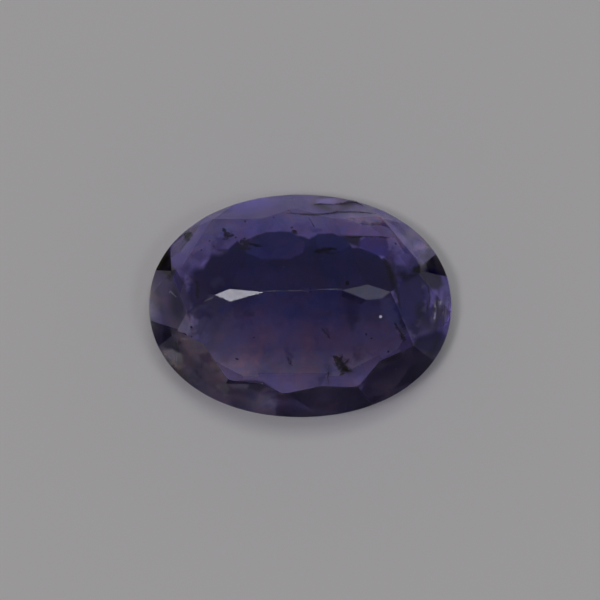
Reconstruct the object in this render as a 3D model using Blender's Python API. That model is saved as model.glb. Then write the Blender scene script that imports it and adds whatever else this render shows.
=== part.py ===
"""An oval iolite, 12 x 8.9 mm, cut with ten-fold facets and a keel, lying on its table.

Run with: blender --background --python part.py

Lengths at the top are millimetres and become metres through MM. X is the long axis of the oval, Y its
width and Z points up. The origin is the middle of the table, on the plane that the stone rests on, so the
front of the stone faces down and the keel is on top.
"""

import math

import bmesh
import bpy
from mathutils import Matrix, Vector

MM = 0.001

# The oval, as seen along Z. A corner power of 2 would be an ellipse, and more than 2 is a fuller outline.
LENGTH = 12.0
WIDTH = 8.92
CORNER_POWER = 2.1
OUTLINE_SIDES = 144

# Heights of the tiers, from the table up.
CROWN_HEIGHT = 1.6
GIRDLE_HEIGHT = 0.16
PAVILION_HEIGHT = 3.7

# The girdle's edge is cut this far by the middle of each facet that ends there, which gives it its waves.
GIRDLE_BITE = 0.06

# The facets stand on a dial of ten, stretched with the oval.
DIAL_STEP = 36
HALF_STEP = DIAL_STEP // 2

# The crown, below the girdle: slopes in degrees from the plane of the girdle.
CROWN_MAIN_SLOPE = 39
STAR_SLOPE = 27
# How far out a star facet's point lies, as a share of the way from the axis to the girdle.
STAR_REACH = 0.80

# The keel is the ridge where the two long back facets meet. Its ends, from the axis.
KEEL_LEFT = -1.42
KEEL_RIGHT = 1.66
KEEL_LEFT_OFFSET = 0.03
KEEL_RIGHT_OFFSET = 0.0

# The back, above the girdle. Each facet is (dial mark, way it faces, slope), in degrees. It was cut by
# hand, so the ways and slopes differ a little from the even dial.
RIM_FACETS = (
    (0, -15, 54),
    (36, 50, 59),
    (72, 79, 59),
    (108, 104, 59),
    (144, 135, 58),
    (180, 182, 58),
    (216, 230, 57),
    (252, 254, 62),
    (288, 278, 61),
    (324, 304, 56),
)

# The long facets beside the keel and the small kites at its ends, as (way it faces, slope), all hold an
# end of the keel.
KEEL_FACETS = (
    (90, 92, 30),
    (270, 271, 30),
)
LEFT_KITE = (235, 10)
RIGHT_KITE = (316, 13)

# The other inner facets also have the height at which their planes would cross the stone's axis, measured
# from the girdle.
INNER_FACETS = (
    (18, 24, 44, 6.85),
    (54, 61, 42, 4.97),
    (126, 122, 42, 5.00),
    (162, 174, 49, 7.40),
    (198, 222, 43, 5.85),
    (234, 244, 39, 4.75),
    (306, 289, 37, 4.35),
    (342, 309, 43, 5.45),
)

# Each set of break facets, between two rim facets, starts this far below the corner where those end.
BREAK_DROP = 0.04
# Where the breaks of a set face, as shares of the turn from one rim facet to the next. The set that follows
# the facet of the right end has a third one.
BREAK_TURNS = (0.27, 0.73)
RIGHT_END = 0
RIGHT_END_TURNS = (0.31, 0.67, 0.81)

# The block that the facets are cut from is this much taller than the stone.
BLOCK_SPARE = 1.0
# A corner this near to a cut lies on it, and corners this near to each other are one.
ON_THE_CUT = 0.0001
SAME_CORNER = 0.004

# Colour of the polished stone.
STONE_COLOUR = (0.045, 0.030, 0.105, 1.0)
STONE_ROUGHNESS = 0.06
STONE_REFRACTION = 1.54


def remove_everything():
    for item in list(bpy.data.objects):
        bpy.data.objects.remove(item, do_unlink=True)


def outline_points():
    """The oval's corners in millimetres, counter-clockwise as seen from above."""
    points = []
    for side in range(OUTLINE_SIDES):
        turn = math.tau * (side + 0.5) / OUTLINE_SIDES
        across = math.copysign(abs(math.cos(turn)) ** (2 / CORNER_POWER), math.cos(turn))
        up = math.copysign(abs(math.sin(turn)) ** (2 / CORNER_POWER), math.sin(turn))
        points.append(Vector((LENGTH / 2 * across, WIDTH / 2 * up, 0.0)))
    return points


def direction(facing):
    return Vector((math.cos(math.radians(facing)), math.sin(math.radians(facing)), 0.0))


def outward(facing, slope):
    """A facet's normal, from the way it faces and its slope from the plane of the girdle."""
    lean = math.radians(slope)
    return direction(facing) * math.sin(lean) + Vector((0.0, 0.0, math.cos(lean)))


def touching(facing, slope, outline):
    """The plane of a facet that ends at the girdle, as (point, normal), with the girdle's edge at height 0."""
    farthest = max(outline, key=direction(facing).dot)
    return farthest - Vector((0.0, 0.0, GIRDLE_BITE)), outward(facing, slope)


def meeting_point(planes):
    """The point that three planes share."""
    rows = Matrix([normal for _, normal in planes])
    offsets = Vector([normal.dot(point) for point, normal in planes])
    return rows.inverted() @ offsets


def touching_through(facing, corner, outline):
    """As touching, for a facet whose slope is the one that takes it through a given corner."""
    farthest = max(outline, key=direction(facing).dot)
    run = direction(facing).dot(farthest - corner)
    slope = math.degrees(math.atan2(corner.z + GIRDLE_BITE, run))
    return touching(facing, slope, outline)


def between(first, last, share):
    """The way that lies this share of the turn from the first to the last, in degrees."""
    return first + (last - first) % 360 * share


def back_planes(outline):
    """The planes of the stone's back, above the girdle."""
    keel_left = Vector((KEEL_LEFT, KEEL_LEFT_OFFSET, PAVILION_HEIGHT))
    keel_right = Vector((KEEL_RIGHT, KEEL_RIGHT_OFFSET, PAVILION_HEIGHT))
    rim = {mark: touching(facing, slope, outline) for mark, facing, slope in RIM_FACETS}
    faces_of_rim = {mark: facing for mark, facing, _ in RIM_FACETS}
    inner = {}
    for mark, facing, slope in KEEL_FACETS:
        inner[mark] = ((keel_left + keel_right) / 2, outward(facing, slope))
    for mark, facing, slope, height in INNER_FACETS:
        inner[mark] = (Vector((0.0, 0.0, height)), outward(facing, slope))
    kites = [(keel_left, outward(*LEFT_KITE)), (keel_right, outward(*RIGHT_KITE))]
    breaks = []
    for mark, facing in faces_of_rim.items():
        following = (mark + DIAL_STEP) % 360
        corner = meeting_point((rim[mark], rim[following], inner[mark + HALF_STEP]))
        corner.z -= BREAK_DROP
        for share in RIGHT_END_TURNS if mark == RIGHT_END else BREAK_TURNS:
            facing_break = between(facing, faces_of_rim[following], share)
            breaks.append(touching_through(facing_break, corner, outline))
    return list(rim.values()) + list(inner.values()) + kites + breaks


def stretched(mark):
    """The way a facet at this mark of the dial faces, once the round dial is stretched to the oval."""
    turn = math.radians(mark)
    return math.degrees(math.atan2(LENGTH * math.sin(turn), WIDTH * math.cos(turn)))


def front_planes(outline):
    """The planes of the crown, as if it were above the girdle too. The table isn't one of them."""
    planes = []
    mains = {}
    for mark in range(0, 360, DIAL_STEP):
        mains[mark] = touching(stretched(mark), CROWN_MAIN_SLOPE, outline)
    for mark in range(0, 360, DIAL_STEP):
        following = (mark + DIAL_STEP) % 360
        middle = stretched(mark + HALF_STEP)
        farthest = max(outline, key=direction(middle).dot)
        point = farthest * STAR_REACH
        first_point, first_normal = mains[mark]
        point.z = first_point.z + (first_point - point).dot(first_normal) / first_normal.z
        planes.append((point, outward(middle, STAR_SLOPE)))
        ridge = meeting_point((mains[mark], mains[following], planes[-1]))
        ridge.z -= BREAK_DROP
        for share in BREAK_TURNS:
            facing = between(stretched(mark), stretched(following), share)
            planes.append(touching_through(facing, ridge, outline))
    return list(mains.values()) + planes


def cut(mesh, point, normal):
    """Takes off all that lies in front of the plane and closes the cut with one flat facet."""
    found = bmesh.ops.bisect_plane(
        mesh,
        geom=mesh.verts[:] + mesh.edges[:] + mesh.faces[:],
        dist=ON_THE_CUT,
        plane_co=point,
        plane_no=normal,
        clear_outer=True,
    )
    rim = [item for item in found["geom_cut"] if isinstance(item, bmesh.types.BMEdge)]
    if len(rim) > 2:
        bmesh.ops.contextual_create(mesh, geom=rim)


def stone_material():
    material = bpy.data.materials.new("polished_iolite")
    material.use_nodes = True
    shader = material.node_tree.nodes["Principled BSDF"]
    shader.inputs["Base Color"].default_value = STONE_COLOUR
    shader.inputs["Roughness"].default_value = STONE_ROUGHNESS
    shader.inputs["Metallic"].default_value = 0.0
    shader.inputs["IOR"].default_value = STONE_REFRACTION
    material.diffuse_color = STONE_COLOUR
    return material


def make_stone():
    outline = outline_points()
    girdle_top = CROWN_HEIGHT + GIRDLE_HEIGHT
    shape = bmesh.new()
    lowest = [shape.verts.new(point) for point in outline]
    table = shape.faces.new(list(reversed(lowest)))
    raised = bmesh.ops.extrude_face_region(shape, geom=[table], use_keep_orig=True)
    upper = [item for item in raised["geom"] if isinstance(item, bmesh.types.BMVert)]
    bmesh.ops.translate(shape, vec=(0.0, 0.0, girdle_top + PAVILION_HEIGHT + BLOCK_SPARE), verts=upper)
    bmesh.ops.recalc_face_normals(shape, faces=shape.faces[:])
    for point, normal in back_planes(outline):
        cut(shape, point + Vector((0.0, 0.0, girdle_top)), normal)
    turned_over = Matrix.Diagonal((1.0, 1.0, -1.0))
    for point, normal in front_planes(outline):
        cut(shape, turned_over @ point + Vector((0.0, 0.0, CROWN_HEIGHT)), turned_over @ normal)
    bmesh.ops.remove_doubles(shape, verts=shape.verts[:], dist=SAME_CORNER)
    bmesh.ops.recalc_face_normals(shape, faces=shape.faces[:])
    bmesh.ops.scale(shape, vec=(MM, MM, MM), verts=shape.verts[:])
    mesh = bpy.data.meshes.new("iolite")
    shape.to_mesh(mesh)
    shape.free()
    mesh.materials.append(stone_material())
    stone = bpy.data.objects.new("iolite", mesh)
    bpy.context.scene.collection.objects.link(stone)
    return stone


remove_everything()
make_stone()
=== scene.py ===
"""The looks of an oval iolite that lies on its table, seen from above its keel.

The stone is clear and takes its colour from absorption. Its deeper blue zones and its dark and pale facets
are painted light and shade of what is seen through it, as are a glint and two dark films of shade. These, the
cloudy facets, cracks, dark crystals and pale specks lie where the photograph shows them.

A place on the stone is (across, up) in millimetres, as the camera sees it, from the middle of the girdle.
A depth is in millimetres along the refracted line of sight, from the polished surface down.
"""

import math

import bpy
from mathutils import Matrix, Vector


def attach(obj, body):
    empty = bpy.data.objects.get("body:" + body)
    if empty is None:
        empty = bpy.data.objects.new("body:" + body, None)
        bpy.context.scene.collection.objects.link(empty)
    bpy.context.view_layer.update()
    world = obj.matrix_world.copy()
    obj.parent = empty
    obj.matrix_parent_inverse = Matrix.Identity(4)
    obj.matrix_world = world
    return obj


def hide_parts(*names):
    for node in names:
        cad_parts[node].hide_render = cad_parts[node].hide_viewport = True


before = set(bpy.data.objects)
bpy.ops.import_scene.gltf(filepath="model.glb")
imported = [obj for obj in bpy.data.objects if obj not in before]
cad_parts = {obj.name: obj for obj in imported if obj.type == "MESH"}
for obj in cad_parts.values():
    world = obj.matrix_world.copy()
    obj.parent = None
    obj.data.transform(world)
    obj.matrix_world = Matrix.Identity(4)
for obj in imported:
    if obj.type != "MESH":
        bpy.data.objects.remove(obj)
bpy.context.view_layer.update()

MM = 0.001

# The camera looks down on the stone, leaning this far toward -Y.
VIEW_LEAN = math.radians(8.5)
TO_CAMERA = Vector((0.0, -math.sin(VIEW_LEAN), math.cos(VIEW_LEAN)))
SEEN_ACROSS = Vector((1.0, 0.0, 0.0))
SEEN_UP = Vector((0.0, math.cos(VIEW_LEAN), math.sin(VIEW_LEAN)))

# The photograph's frame is this wide where it cuts the middle of the girdle, and its centre lies here.
FRAME_SIDE = 23.84
FRAME_CENTRE = (-0.008, 0.2145)
CAMERA_DISTANCE = 300.0
SENSOR_SIDE = 36.0
NEAREST_SEEN = 0.01

GIRDLE_TOP = 1.76
GIRDLE_MIDDLE = Vector((0.0, 0.0, GIRDLE_TOP)) * MM

# Iolite: its index, the colour that it lets through, how strongly it absorbs the rest, and its shine, where 1
# is a plain polish of that index.
REFRACTION = 1.54
BODY_COLOUR = (0.26, 0.12, 0.74, 1.0)
ABSORPTION = 180.0
SURFACE_SHINE = 0.35


def seen_point(across, up):
    """The point of the girdle's plane, faced to the camera, that a place stands for."""
    return GIRDLE_MIDDLE + (SEEN_ACROSS * across + SEEN_UP * up) * MM


CAMERA_PLACE = seen_point(*FRAME_CENTRE) + TO_CAMERA * CAMERA_DISTANCE * MM
STONE_BOUNCES, GLOSSY_BOUNCES = 24, 12

# The softboxes, as (name, azimuth, elevation, distance, side, radiance, colour). Azimuths are in degrees from
# +X toward +Y and lengths in metres.
SOFTBOXES = (
    ("key", 217, 75, 0.30, 0.0425, 18.4, (1.0, 0.985, 1.05)),
    ("side", 331, 66, 0.30, 0.064, 2.7, (0.94, 1.0, 1.09)),
    ("overhead", 90, 78, 0.50, 0.20, 2.6, (1.0, 1.0, 1.0)),
)
# The room's walls end between these sines of the elevation, and the ceiling is darker.
WALL_TOP = (0.34, 0.70)
WALL_LIGHT = 0.28
CEILING_LIGHT = 0.08
ROOM_COLOUR = (1.0, 0.99, 1.0, 1.0)

FLOOR_SIDE = 1.2
FLOOR_COLOUR = (0.79, 0.775, 0.765, 1.0)
FLOOR_ROUGHNESS = 0.9
# Black cards on the floor, in millimetres as (middle, half size), that only reflections see. The large one
# keeps the floor's glare off the front, and each small one off a dark facet of the ends.
BLACK_CARDS = (
    ((0.0, -34.6), (40.0, 30.0)),
    ((-7.1, 3.48), (1.3, 1.13)),
    ((7.78, 2.6), (0.83, 1.0)),
    ((8.95, 3.3), (0.45, 0.6)),
    ((-9.1, -1.6), (1.4, 1.0)),
)
# The floor and the cards lie this many millimetres below the table.
FLOOR_DROP, CARD_DROP = 0.02, 0.01


def add_camera():
    bpy.ops.object.camera_add(location=CAMERA_PLACE, rotation=(VIEW_LEAN, 0.0, 0.0))
    camera = bpy.context.object
    camera.data.sensor_width = SENSOR_SIDE
    camera.data.lens = SENSOR_SIDE * CAMERA_DISTANCE / FRAME_SIDE
    camera.data.clip_start = NEAREST_SEEN
    bpy.context.scene.camera = camera


def add_softbox(name, azimuth, elevation, distance, side, radiance, colour):
    """A square light that faces the stone."""
    lean, turn = math.radians(elevation), math.radians(azimuth)
    out = Vector((math.cos(lean) * math.cos(turn), math.cos(lean) * math.sin(turn), math.sin(lean)))
    bpy.ops.object.light_add(
        type="AREA", location=out * distance, rotation=out.to_track_quat("Z", "Y").to_euler()
    )
    box = bpy.context.object
    box.name = name
    box.data.size = side
    box.data.energy = radiance * math.pi * side * side
    box.data.color = colour
    box.visible_camera = False


def add_room_light():
    """A room with pale walls and a darker ceiling."""
    world = bpy.data.worlds.new("pale_room")
    world.use_nodes = True
    bpy.context.scene.world = world
    nodes, links = world.node_tree.nodes, world.node_tree.links
    backdrop = nodes["Background"]
    backdrop.inputs["Color"].default_value = ROOM_COLOUR
    way = nodes.new("ShaderNodeTexCoord")
    split = nodes.new("ShaderNodeSeparateXYZ")
    level = nodes.new("ShaderNodeMapRange")
    level.interpolation_type = "SMOOTHSTEP"
    for socket, value in zip(level.inputs[1:5], (*WALL_TOP, WALL_LIGHT, CEILING_LIGHT)):
        socket.default_value = value
    links.new(way.outputs["Generated"], split.inputs[0])
    links.new(split.outputs["Z"], level.inputs[0])
    links.new(level.outputs[0], backdrop.inputs["Strength"])


def add_floor():
    bpy.ops.object.select_all(action="DESELECT")
    bpy.ops.mesh.primitive_plane_add(size=FLOOR_SIDE, location=(0.0, 0.0, -FLOOR_DROP * MM))
    floor = bpy.context.object
    floor.name = "floor"
    finish = Finish("pale_floor")
    finish.set(Base_Color=FLOOR_COLOUR, Roughness=FLOOR_ROUGHNESS, Specular_IOR_Level=0.0)
    floor.data.materials.append(finish.material)


def add_black_cards():
    black = Finish("black_card")
    black.set(Base_Color=(0.0, 0.0, 0.0, 1.0), Roughness=1.0, Specular_IOR_Level=0.0)
    for middle, half_size in BLACK_CARDS:
        bpy.ops.object.select_all(action="DESELECT")
        bpy.ops.mesh.primitive_plane_add(size=2.0, location=Vector((*middle, -CARD_DROP)) * MM)
        card = bpy.context.object
        card.scale = (*(Vector(half_size) * MM), 1.0)
        bpy.ops.object.transform_apply(location=True, rotation=True, scale=True)
        card.name = "black_card"
        card.data.materials.append(black.material)
        card.visible_camera = card.visible_diffuse = card.visible_transmission = False
        card.visible_shadow = card.visible_volume_scatter = False


class Finish:
    """A material and the nodes that are added to it."""

    def __init__(self, name):
        self.material = bpy.data.materials.new(name)
        self.material.use_nodes = True
        self.tree = self.material.node_tree
        self.shader = self.tree.nodes["Principled BSDF"]
        self.output = self.tree.nodes["Material Output"]

    def put(self, socket, value):
        if isinstance(value, bpy.types.NodeSocket):
            self.tree.links.new(value, socket)
        else:
            socket.default_value = value

    def set(self, **values):
        """Sets the shader's sockets, named with underscores for spaces."""
        for name, value in values.items():
            self.put(self.shader.inputs[name.replace("_", " ")], value)

    def node(self, kind, *values, **settings):
        made = self.tree.nodes.new("ShaderNode" + kind)
        for name, value in settings.items():
            setattr(made, name, value)
        for socket, value in zip(made.inputs, values):
            self.put(socket, value)
        return made

    def maths(self, operation, *values):
        return self.node("Math", *values, operation=operation).outputs[0]

    def between(self, value, low, high, at_low=0.0, at_high=1.0):
        """A soft step of the value from one level to another."""
        step = self.node(
            "MapRange", value, low, high, at_low, at_high, interpolation_type="SMOOTHSTEP"
        )
        return step.outputs[0]

    def mixed(self, share, first, second, blend="MIX"):
        made = self.node("Mix", data_type="RGBA", blend_type=blend, clamp_factor=True)
        for socket, value in ((0, share), (6, first), (7, second)):
            self.put(made.inputs[socket], value)
        return made.outputs[2]

    def places(self):
        """Object coordinates turned into (across, up, 1) in millimetres, as the camera sees them."""
        object_coordinates = self.node("TexCoord").outputs["Object"]
        turned = self.node("Mapping", object_coordinates)
        turned.inputs["Rotation"].default_value = (-VIEW_LEAN, 0.0, 0.0)
        turned.inputs["Location"].default_value = (0.0, -GIRDLE_TOP * math.sin(VIEW_LEAN), 0.0)
        turned.inputs["Scale"].default_value = (1.0 / MM, 1.0 / MM, 1.0 / MM)
        split = self.node("SeparateXYZ", turned.outputs[0])
        return self.node("CombineXYZ", split.outputs[0], split.outputs[1], 1.0).outputs[0]

    def grain(self, places, size, detail=2.0, roughness=0.5, distortion=0.0):
        """Noise whose blotches are about this many millimetres across."""
        noise = self.node("TexNoise", noise_dimensions="3D")
        self.put(noise.inputs["Vector"], places)
        noise.inputs["Scale"].default_value = 1.0 / size
        noise.inputs["Detail"].default_value = detail
        noise.inputs["Roughness"].default_value = roughness
        noise.inputs["Distortion"].default_value = distortion
        return noise

    def wandering(self, places, size, reach):
        """Places moved about by noise, so that an edge drawn with them isn't straight."""
        colour = self.grain(places, size).outputs["Color"]
        centred = self.node("VectorMath", colour, (0.5, 0.5, 0.5), operation="SUBTRACT").outputs[0]
        flat = self.node("VectorMath", centred, (reach, reach, 0.0), operation="MULTIPLY").outputs[0]
        return self.node("VectorMath", places, flat, operation="ADD").outputs[0]

    def within(self, places, corners, softness):
        """1 inside a convex outline, given counter-clockwise, and 0 outside it."""
        nearest = None
        for start, end in zip(corners, corners[1:] + corners[:1]):
            along = (Vector(end) - Vector(start)).normalized()
            inward = Vector((-along.y, along.x))
            line = (inward.x, inward.y, -inward.dot(Vector(start)))
            distance = self.node("VectorMath", places, line, operation="DOT_PRODUCT").outputs["Value"]
            nearest = distance if nearest is None else self.maths("MINIMUM", nearest, distance)
        return self.between(nearest, -softness, softness)

    def patch(self, places, middle, size, turn, core):
        """1 in the core of an oval and 0 outside it. The size is its half axes and the turn is in degrees."""
        laid = self.node("Mapping", places, vector_type="TEXTURE")
        laid.inputs["Location"].default_value = (*middle, 1.0)
        laid.inputs["Rotation"].default_value = (0.0, 0.0, math.radians(turn))
        laid.inputs["Scale"].default_value = (*size, 1.0)
        reach = self.node("VectorMath", laid.outputs[0], operation="LENGTH").outputs["Value"]
        return self.between(reach, 1.0, core)

    def ramp(self, value, stops):
        """Colours from (level, colour) stops, by the value."""
        first, last = stops[0][0], stops[-1][0]
        share = self.node("MapRange", value, first, last, 0.0, 1.0).outputs[0]
        band = self.node("ValToRGB", share)
        elements = band.color_ramp.elements
        while len(elements) < len(stops):
            elements.new(0.5)
        for element, (level, colour) in zip(elements, stops):
            element.position = (level - first) / (last - first)
            element.color = (*colour, 1.0)
        return band.outputs["Color"]

    def blotches(self, places, grain, stops):
        """Colours from the stops, in blotches of a grain."""
        return self.ramp(self.grain(places, *grain).outputs["Fac"], stops)

    def height_of(self, places, points, low, high):
        """The height, at each place across, of a line through the points."""
        across = self.node("SeparateXYZ", places).outputs[0]
        first, last = points[0][0], points[-1][0]
        share = self.node("MapRange", across, first, last, 0.0, 1.0).outputs[0]
        line = self.node("FloatCurve", 1.0, share)
        curve = line.mapping.curves[0]
        for index, (at, height) in enumerate(points):
            place = ((at - first) / (last - first), (height - low) / (high - low))
            if index == 0:
                curve.points[0].location = place
            elif index == len(points) - 1:
                curve.points[-1].location = place
            else:
                curve.points.new(*place)
        for point in curve.points:
            point.handle_type = "VECTOR"
        line.mapping.update()
        return self.node("MapRange", line.outputs[0], 0.0, 1.0, low, high).outputs[0]


# Tints are the shares of red, green and blue light that a place lets in. Most of them are painted light
# and shade, which stand for the light of what is seen through the stone there.
CLEAR = (1.0, 1.0, 1.0)

# The rim facets of the back, by the way they face. Each holds up to the angle given, in degrees, and is
# (angle, tint, haze, roughness). The tint is painted light and shade, as dark as what the facet sees through
# the stone makes it. Haze is the share of light that a cloudy facet scatters back.
RIM_SHADES_AND_FINISHES = (
    (17, (0.80, 0.79, 0.88), 0.03, 0.14),
    (33, (0.26, 0.28, 0.13), 0.02, 0.12),
    (44, (0.84, 0.83, 0.80), 0.06, 0.20),
    (62, (0.88, 0.81, 1.00), 0.07, 0.14),
    (90, (0.78, 0.72, 0.90), 0.07, 0.28),
    (110, (0.72, 0.68, 0.86), 0.09, 0.26),
    (140, (0.74, 0.70, 0.92), 0.055, 0.06),
    (158, (0.17, 0.19, 0.035), 0.06, 0.12),
    (175, (0.30, 0.25, 0.30), 0.04, 0.30),
    (188, (0.55, 0.50, 0.42), 0.04, 0.35),
    (205, (0.26, 0.26, 0.19), 0.06, 0.20),
    (225, (0.36, 0.35, 0.28), 0.12, 0.25),
    (241, (0.55, 0.51, 0.40), 0.20, 0.30),
    (262, (0.50, 0.47, 0.38), 0.16, 0.28),
    (290, (0.25, 0.25, 0.20), 0.20, 0.28),
    (325, (0.26, 0.26, 0.21), 0.15, 0.25),
    (341, (0.30, 0.30, 0.24), 0.08, 0.15),
    (361, (0.80, 0.79, 0.84), 0.02, 0.20),
)
INNER_FINISH = (CLEAR, 0.0, 0.03)
# The inner facets beside the keel's own mirror the walls, and their part of the blue field is painted in
# deeper shade.
SIDE_FACINGS = ((50, 70), (115, 130))
SIDE_SHADE_AND_FINISH = ((0.50, 0.40, 0.82), 0.0, 0.03)
FRONT_FINISH = (CLEAR, 0.0, 0.0)
GIRDLE_FINISH = ((0.45, 0.44, 0.50), 0.15, 0.35)
WORN_FINISH = ((0.60, 0.60, 0.70), 0.30, 0.35)
# The least slopes of the rim, the girdle and the front, and of the inner facets beside the keel's own.
RIM_SLOPE, GIRDLE_SLOPE, FRONT_SLOPE = 52, 80, 100
SIDE_SLOPE = 35

# Which of the finish's parts a facet takes its tint from.
RIM_ZONE, UPPER_ZONE, LOWER_ZONE = 0, 1, 2

# The keel is the edge within this height of the top, and this much of it is worn off.
KEEL_HEIGHT, KEEL_WEAR = 0.005, 0.035
# Corners this close are one corner. Faces within the first angle are one facet, and edges up to the second
# are shaded smooth.
SAME_CORNER = 0.001
SAME_FACET, SMOOTH_EDGE = math.radians(0.5), math.radians(6)


def facing_and_slope(normal):
    """The way a facet faces and its slope from the plane of the girdle, in degrees."""
    facing = math.degrees(math.atan2(normal.y, normal.x)) % 360
    return facing, math.degrees(math.acos(max(-1.0, min(1.0, normal.z))))


def facet_shade_and_finish(normal, worn):
    facing, slope = facing_and_slope(normal)
    if slope > FRONT_SLOPE:
        return FRONT_FINISH
    if slope > GIRDLE_SLOPE:
        return GIRDLE_FINISH
    if worn:
        return WORN_FINISH
    if slope < RIM_SLOPE:
        beside = any(first < facing < last for first, last in SIDE_FACINGS) and slope > SIDE_SLOPE
        return SIDE_SHADE_AND_FINISH if beside else INNER_FINISH
    return next(finish[1:] for finish in RIM_SHADES_AND_FINISHES if facing <= finish[0])


def facet_zone(normal, worn):
    facing, slope = facing_and_slope(normal)
    if worn or slope >= RIM_SLOPE:
        return RIM_ZONE
    return UPPER_ZONE if facing < 180 else LOWER_ZONE


def only(piece):
    """Selects the piece alone."""
    bpy.ops.object.select_all(action="DESELECT")
    piece.select_set(True)
    bpy.context.view_layer.objects.active = piece


def make_stone():
    """A copy of the CAD solid as clean flat facets, with its worn keel rounded off."""
    bpy.ops.object.select_all(action="DESELECT")
    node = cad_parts["iolite"]
    stone = node.copy()
    stone.data = node.data.copy()
    stone.name = stone.data.name = "cut_stone"
    stone.parent = None
    for key in list(stone.keys()):
        del stone[key]
    bpy.context.scene.collection.objects.link(stone)
    only(stone)
    bpy.ops.object.mode_set(mode="EDIT")
    bpy.ops.mesh.select_all(action="SELECT")
    bpy.ops.mesh.remove_doubles(threshold=SAME_CORNER * MM)
    bpy.ops.mesh.dissolve_limited(angle_limit=SAME_FACET)
    bpy.ops.mesh.normals_make_consistent(inside=False)
    bpy.ops.mesh.select_all(action="DESELECT")
    bpy.ops.object.mode_set(mode="OBJECT")
    top = max(vertex.co.z for vertex in stone.data.vertices)
    for edge in stone.data.edges:
        ends = [stone.data.vertices[end].co.z for end in edge.vertices]
        edge.select = min(ends) > top - KEEL_HEIGHT * MM
    plain_normals = [face.normal.copy() for face in stone.data.polygons]
    bpy.ops.object.mode_set(mode="EDIT")
    bpy.ops.mesh.select_mode(type="EDGE")
    bpy.ops.mesh.bevel(offset=KEEL_WEAR * MM, segments=1)
    bpy.ops.object.mode_set(mode="OBJECT")
    # Each facet's painted light and shade, its haze, its roughness and its zone.
    facet_shades = stone.data.attributes.new("facet_shade", "FLOAT_COLOR", "CORNER")
    haze = stone.data.attributes.new("facet_haze", "FLOAT", "FACE")
    polish = stone.data.attributes.new("facet_roughness", "FLOAT", "FACE")
    zones = stone.data.attributes.new("facet_zone", "FLOAT", "FACE")
    for face in stone.data.polygons:
        worn = max(face.normal.dot(normal) for normal in plain_normals) < math.cos(SAME_FACET)
        tint, cloud, rough = facet_shade_and_finish(face.normal, worn)
        for corner in face.loop_indices:
            facet_shades.data[corner].color = (*tint, 1.0)
        haze.data[face.index].value = cloud
        polish.data[face.index].value = rough
        zones.data[face.index].value = facet_zone(face.normal, worn)
    bpy.ops.object.shade_smooth_by_angle(angle=SMOOTH_EDGE)
    stone.data.materials.clear()
    stone.data.materials.append(polished_iolite())
    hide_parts("iolite")
    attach(stone, "root")
    return stone


# The deep blue field in the back's upper half is painted shade of the shadowed floor under the stone, seen
# through it. It ends along this line.
FIELD_EDGE = (
    (-4.67, 1.34), (-3.82, 1.49), (-3.74, 1.64), (-3.50, 2.00), (-3.03, 2.08), (-2.71, 2.36), (-2.47, 2.54),
    (-2.27, 2.36), (-2.07, 2.56), (-1.76, 2.72), (-1.34, 2.89), (-0.72, 2.92), (-0.37, 2.87), (0.37, 2.62),
    (0.69, 2.82), (1.26, 2.82), (1.74, 2.68), (2.06, 2.32), (2.46, 2.28), (2.81, 2.16), (3.13, 1.92),
    (3.41, 1.72), (3.61, 1.25), (3.90, 0.30),
)
# It fades in and out across these spans, and its edge is soft left of the middle, as (span, softnesses).
FIELD_LEFT, FIELD_RIGHT = (-4.60, -4.10), (3.98, 3.86)
FIELD_SOFTNESS = ((-2.5, -3.3), (0.06, 0.18))
# The lowest and highest place of its line.
FIELD_REACH = (-1.0, 4.0)
# Tints of the upper half above that line, by the place across: painted light of the lit floor seen through
# it.
BAND_TINTS = (
    (-6.0, (0.80, 0.76, 0.98)),
    (-3.0, (0.68, 0.66, 0.86)),
    (-1.8, (0.72, 0.69, 0.91)),
    (-0.4, (0.80, 0.78, 1.00)),
    (0.9, (0.86, 0.83, 1.00)),
    (1.5, (0.78, 0.74, 0.92)),
    (2.0, (0.86, 0.80, 1.00)),
    (6.0, (0.86, 0.80, 1.00)),
)
# Tints of the field and of the lower half, by the place up: painted light and shade of the floor seen
# through them.
FIELD_TINTS = (
    (0.3, (0.10, 0.12, 0.19)),
    (0.9, (0.12, 0.13, 0.19)),
    (1.6, (0.10, 0.11, 0.18)),
    (2.2, (0.10, 0.13, 0.22)),
    (2.9, (0.16, 0.19, 0.32)),
)
LOWER_TINTS = (
    (-3.6, (1.00, 1.00, 0.74)),
    (-2.9, (0.88, 0.88, 0.68)),
    (-2.4, (0.72, 0.71, 0.54)),
    (-1.7, (0.43, 0.40, 0.36)),
    (-0.8, (0.34, 0.33, 0.31)),
    (-0.1, (0.24, 0.26, 0.28)),
    (0.5, (0.22, 0.24, 0.27)),
)
# How much more painted light the lower half lets in, by the place across.
LOWER_SIDES = (
    (-4.5, (1.20, 1.25, 1.05)),
    (-2.0, (1.12, 1.10, 1.06)),
    (0.4, (1.0, 1.0, 1.0)),
    (2.4, (0.88, 0.86, 0.92)),
    (4.0, (0.98, 0.92, 1.10)),
)
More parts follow.
